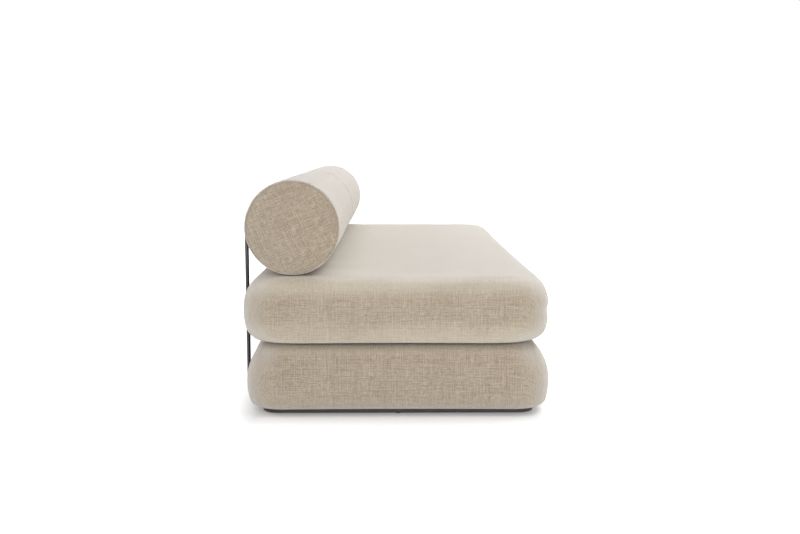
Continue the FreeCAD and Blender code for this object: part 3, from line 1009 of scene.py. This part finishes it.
def roll_profile(roll):
    """From the seam at one end, over the rolled rim and along the sleeve to the other end."""
    end = roll.radius - ROLL_CROWN
    rim = []
    rim.append((roll.half - SEAM_DEPTH, roll.seam_radius))
    for step in range(RIM_STEPS + 1):
        angle = math.pi / 2 * step / RIM_STEPS
        across = SEAM_INSET * math.sin(angle)
        rim.append((roll.half - RIM_RADIUS * (1 - math.cos(angle)), end - SEAM_INSET + across))
    straight = roll.half - RIM_RADIUS
    body = []
    for step in range(1, ROLL_LENGTH_STEPS):
        share = 1 - 2 * step / ROLL_LENGTH_STEPS
        body.append((straight * share, end + ROLL_CROWN * (1 - share * share)))
    start = [(-along, radius) for along, radius in rim]
    return rim + body + start[::-1]


def sleeve_piece(side, roll, seed):
    name = "bolster_%s_sleeve_upholstery" % side
    piece = lathe(name, roll, roll_profile(roll))
    count = len(piece.data.vertices)
    row = np.arange(count) // ROLL_TURN_POINTS
    rows = count // ROLL_TURN_POINTS
    held = (row < RIM_STEPS) | (row >= rows - RIM_STEPS)
    swell(piece, held, SWELL_CAP)
    points = points_of(piece.data)
    normals = normals_of(piece.data)
    from_seam = roll.half - np.abs(points[:, 0] - roll.centre.x)
    pucker = np.exp(-from_seam / PUCKER_REACH) * smooth_step(from_seam, *PUCKER_START)
    angle = np.arctan2(points[:, 1] - roll.centre.y, points[:, 2] - roll.centre.z)
    round_it = [Vector((math.cos(a) * PUCKER_RATE, math.sin(a) * PUCKER_RATE, seed)) for a in angle]
    ripple = np.array([noise.noise(place) for place in round_it])
    hollows = ROLL_HOLLOW_DEPTH * (waves(points, ROLL_HOLLOW_SIZE, seed) - ROLL_HOLLOW_LEVEL)
    move = np.minimum(ripple, PUCKER_TOP) * pucker * PUCKER_DEPTH
    move = move + hollows * smooth_step(from_seam, *ROLL_HOLLOW_START)
    set_points(piece.data, points + normals * move[:, None])
    store_weave(piece, points[:, 0] - roll.centre.x, angle * roll.radius)
    return piece


def disc_piece(side, end, roll, way):
    """Round end panel, domed, with its edge turned down into the seam."""
    low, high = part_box("bolster_%s_%s_end" % (side, end))
    face = roll.half
    dome = (high.x - roll.centre.x - face) if way > 0 else (roll.centre.x - low.x - face)
    edge = roll.seam_radius - SEAM_GAP
    profile = [(face - SEAM_DEPTH, edge)]
    for ring in range(DISC_RINGS, 0, -1):
        share = ring / DISC_RINGS
        outer = max(0.0, (share - DISC_SHOULDER_START) / (1 - DISC_SHOULDER_START))
        shoulder = DISC_SHOULDER * outer ** 2
        profile.append((face + dome * (1 - share ** DISC_DOME_POWER) - shoulder, edge * share))
    profile = [(way * along, radius) for along, radius in profile]
    if way > 0:
        profile = profile[::-1]
    piece = lathe("bolster_%s_%s_end_upholstery" % (side, end), roll, profile)
    rows = len(profile)
    centre = [roll.centre.x + way * (face + dome), roll.centre.y, roll.centre.z]
    points = np.vstack([points_of(piece.data), centre])
    inner = 0 if way > 0 else rows - 1
    faces = [tuple(p.vertices) for p in piece.data.polygons]
    last = len(points) - 1
    for step in range(ROLL_TURN_POINTS):
        a = inner * ROLL_TURN_POINTS + step
        b = inner * ROLL_TURN_POINTS + (step + 1) % ROLL_TURN_POINTS
        faces.append((b, a, last) if way > 0 else (a, b, last))
    name = piece.name
    old = piece.data
    bpy.data.objects.remove(piece)
    bpy.data.meshes.remove(old)
    piece = add_piece(name, points, faces)
    y = points[:, 1] - roll.centre.y
    z = points[:, 2] - roll.centre.z
    turn = DISC_WEAVE_TURN
    store_weave(piece, y * math.cos(turn) - z * math.sin(turn), y * math.sin(turn) + z * math.cos(turn))
    return piece


def dress_bolster(side, seed):
    roll = Roll(side)
    body = "bolster_" + side
    outward = -1 if side == "left" else 1
    made = {
        body + "_sleeve": sleeve_piece(side, roll, seed),
        body + "_outer_end": disc_piece(side, "outer", roll, outward),
        body + "_inner_end": disc_piece(side, "inner", roll, -outward),
    }
    for node, piece in made.items():
        shade_smooth(piece)
        piece.data.materials.append(finishes["upholstery"])
        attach(piece, body)
        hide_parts(node)
    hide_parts(body + "_foam")


dress_bolster("left", LEFT_SEED)
dress_bolster("right", RIGHT_SEED)


# Webbing loops


def strap_path(rod_y, rod_z, radius, tail_y):
    """Middle line of a strap that leaves the bolster, goes round the rod and comes back on itself."""
    lie = STRAP_THICKNESS / 2 + STRAP_LIE
    lean = math.acos(radius / STRAP_PINCH)
    path = [(tail_y, rod_z + lie), (rod_y - STRAP_PINCH - STRAP_TAIL, rod_z + lie)]
    for step in range(STRAP_ARC_STEPS + 1):
        angle = math.pi - lean - (2 * math.pi - 2 * lean) * step / STRAP_ARC_STEPS
        path.append((rod_y + radius * math.cos(angle), rod_z + radius * math.sin(angle)))
    path += [(rod_y - STRAP_PINCH - STRAP_TAIL, rod_z - lie), (tail_y, rod_z - lie)]
    return path


def strap_piece(name, path, x_low, x_high):
    """Flat strap along a path, with its own thickness."""
    places = np.array(path)
    lengths = np.concatenate([[0.0], np.cumsum(np.linalg.norm(np.diff(places, axis=0), axis=1))])
    across = np.linspace(x_low, x_high, STRAP_POINTS)
    points = []
    weave = []
    for (y, z), length in zip(path, lengths):
        for x in across:
            points.append((x, y, z))
            weave.append((x - x_low, length))
    wide = len(across)
    faces = []
    for i in range(len(path) - 1):
        for j in range(wide - 1):
            a = i * wide + j
            faces.append((a, a + 1, a + wide + 1, a + wide))
    piece = add_piece(name, points, faces)
    weave = np.array(weave)
    store_weave(piece, weave[:, 0], weave[:, 1])
    thick = piece.modifiers.new("thickness", "SOLIDIFY")
    thick.thickness = STRAP_THICKNESS
    thick.offset = 0.0
    apply_modifiers(piece)
    shade_smooth(piece)
    return piece


def stitch_row(points, faces, x_low, x_high, y, z):
    """Row of short stitches across a strap, each a small six-sided stick with pointed ends."""
    count = int((x_high - x_low) / STITCH_PITCH)
    start = (x_low + x_high - (count - 1) * STITCH_PITCH) / 2
    for index in range(count):
        middle = start + index * STITCH_PITCH
        first = len(points)
        points.append((middle - STITCH_LENGTH / 2, y, z))
        for end in (-STITCH_SHOULDER, STITCH_SHOULDER):
            for step in range(STITCH_SIDES):
                angle = 2 * math.pi / STITCH_SIDES * step
                points.append((
                    middle + end * STITCH_LENGTH,
                    y + STITCH_RADIUS * math.cos(angle),
                    z + STITCH_RADIUS * math.sin(angle),
                ))
        points.append((middle + STITCH_LENGTH / 2, y, z))
        tip = len(points) - 1
        for step in range(STITCH_SIDES):
            following = (step + 1) % STITCH_SIDES
            a = first + 1 + step
            b = first + 1 + following
            faces.append((first, b, a))
            faces.append((a, b, b + STITCH_SIDES, a + STITCH_SIDES))
            faces.append((tip, a + STITCH_SIDES, b + STITCH_SIDES))


def dress_loops(side):
    node = "bolster_%s_loops" % side
    low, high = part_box(node)
    body = "bolster_" + side
    roll = Roll(side)
    rod_radius = (high.z - low.z) / 2 - LOOP_WALL
    rod_z = (low.z + high.z) / 2
    rod_y = high.y - (high.z - low.z) / 2
    path = strap_path(rod_y, rod_z, rod_radius + STRAP_ROOM + STRAP_THICKNESS / 2, low.y)
    spread = (high.x - low.x - STRAP_WIDTH) / 2
    stitch_points = []
    stitch_faces = []
    for index, share in enumerate((-1, 0, 1)):
        middle = roll.centre.x + share * spread
        left = middle - STRAP_WIDTH / 2
        right = middle + STRAP_WIDTH / 2
        strap = strap_piece("%s_loop_%d" % (body, index + 1), path, left, right)
        strap.data.materials.append(finishes["webbing"])
        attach(strap, body)
        if index == 0:
            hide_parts(node)
        for way in (-1, 1):
            stitch_row(
                stitch_points, stitch_faces, left + STITCH_MARGIN, right - STITCH_MARGIN,
                rod_y - STRAP_PINCH - STITCH_SETBACK, rod_z + way * (STRAP_THICKNESS + STITCH_RISE),
            )
    stitches = add_piece(body + "_loop_stitches", stitch_points, stitch_faces)
    shade_smooth(stitches)
    stitches.data.materials.append(thread_finish)
    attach(stitches, body)


dress_loops("left")
dress_loops("right")


# Floor, light and camera


def seen_ray(tree):
    """1 for rays that show the stage itself, straight, in gloss or through glass."""
    rays = tree.nodes.new("ShaderNodeLightPath")
    seen = math_node(tree, "ADD", rays.outputs["Is Camera Ray"], rays.outputs["Is Glossy Ray"])
    return math_node(tree, "ADD", seen, rays.outputs["Is Transmission Ray"])


def white_stage():
    """Plain pale floor that keeps the shadow, with a painted shadow near the base where its glow is weaker,
    shows white round it and is clear from below.
    """
    corners = [(x * FLOOR_HALF, y * FLOOR_HALF, 0) for x, y in ((-1, -1), (1, -1), (1, 1), (-1, 1))]
    floor = add_piece("floor", corners, [(0, 1, 2, 3)])
    finish = bpy.data.materials.new("floor")
    finish.use_nodes = True
    tree = finish.node_tree
    tree.nodes.clear()
    out = tree.nodes.new("ShaderNodeOutputMaterial")
    matte = tree.nodes.new("ShaderNodeBsdfDiffuse")
    matte.inputs["Color"].default_value = FLOOR_GREY
    glow = tree.nodes.new("ShaderNodeEmission")
    aside = [
        math_node(tree, "MAXIMUM", math_node(tree, "SUBTRACT", math_node(tree, "ABSOLUTE", way), half), 0.0)
        for way, half in zip(axes_of(tree, object_vector(tree)), FLOOR_SHADE_HALF)
    ]
    shares = [math_node(tree, "DIVIDE", way, reach) for way, reach in zip(aside, FLOOR_SHADE_REACH)]
    squares = [math_node(tree, "POWER", share, 2.0) for share in shares]
    away = math_node(tree, "SQRT", math_node(tree, "ADD", *squares))
    # Painted shadow: the glow is weaker near the base's footprint, darkening the floor there
    shadowed_glow = stretch(tree, away, 0.0, 1.0, *FLOOR_GLOW)
    link(tree, math_node(tree, "MULTIPLY", seen_ray(tree), shadowed_glow), glow.inputs["Strength"])
    both = tree.nodes.new("ShaderNodeAddShader")
    link(tree, matte.outputs[0], both.inputs[0])
    link(tree, glow.outputs[0], both.inputs[1])
    below = tree.nodes.new("ShaderNodeNewGeometry")
    clear = tree.nodes.new("ShaderNodeBsdfTransparent")
    one_way = tree.nodes.new("ShaderNodeMixShader")
    link(tree, below.outputs["Backfacing"], one_way.inputs["Fac"])
    link(tree, both.outputs[0], one_way.inputs[1])
    link(tree, clear.outputs[0], one_way.inputs[2])
    link(tree, one_way.outputs[0], out.inputs["Surface"])
    floor.data.materials.append(finish)


def white_world(strength):
    world = bpy.data.worlds.new("studio")
    bpy.context.scene.world = world
    world.use_nodes = True
    tree = world.node_tree
    back = tree.nodes["Background"]
    back.inputs["Color"].default_value = WHITE
    link(tree, stretch(tree, seen_ray(tree), 0.0, 1.0, strength, 1.0), back.inputs["Strength"])


def soft_light(name, place, target, size, power):
    lamp = bpy.data.lights.new(name, "AREA")
    lamp.shape = "RECTANGLE"
    lamp.size, lamp.size_y = size
    lamp.energy = power
    holder = bpy.data.objects.new(name, lamp)
    holder.location = place
    holder.rotation_mode = "QUATERNION"
    holder.rotation_quaternion = (Vector(target) - Vector(place)).to_track_quat("-Z", "Y")
    bpy.context.scene.collection.objects.link(holder)


def photo_camera():
    camera = bpy.data.cameras.new("camera")
    camera.sensor_width = SENSOR_WIDTH
    camera.lens = FOCAL_PIXELS / PHOTO_WIDTH * SENSOR_WIDTH
    camera.clip_end = CAMERA_SIGHT
    holder = bpy.data.objects.new("camera", camera)
    holder.location = CAMERA_PLACE
    level = math.cos(CAMERA_PITCH)
    ahead = Vector((level * math.cos(CAMERA_YAW), -level * math.sin(CAMERA_YAW), -math.sin(CAMERA_PITCH)))
    holder.rotation_mode = "QUATERNION"
    holder.rotation_quaternion = ahead.to_track_quat("-Z", "Y")
    bpy.context.scene.collection.objects.link(holder)
    bpy.context.scene.camera = holder


white_stage()
white_world(WORLD_LIGHT)
soft_light("far_top", (2.6, -0.6, 3.3), (-0.3, 0.0, 0.4), (4.0, 2.5), 76.0)
soft_light("right_side", (-0.4, -2.2, 3.9), (0.0, 0.0, 0.4), (4.0, 2.0), 68.0)
soft_light("left_side", (-0.4, 3.4, 1.6), (0.0, 0.0, 0.3), (4.0, 2.0), 29.0)
soft_light("front_fill", (-4.6, -0.6, 0.95), (-0.8, 0.0, 0.2), (4.0, 2.0), 70.0)
photo_camera()
bpy.context.scene.view_settings.view_transform = "Standard"
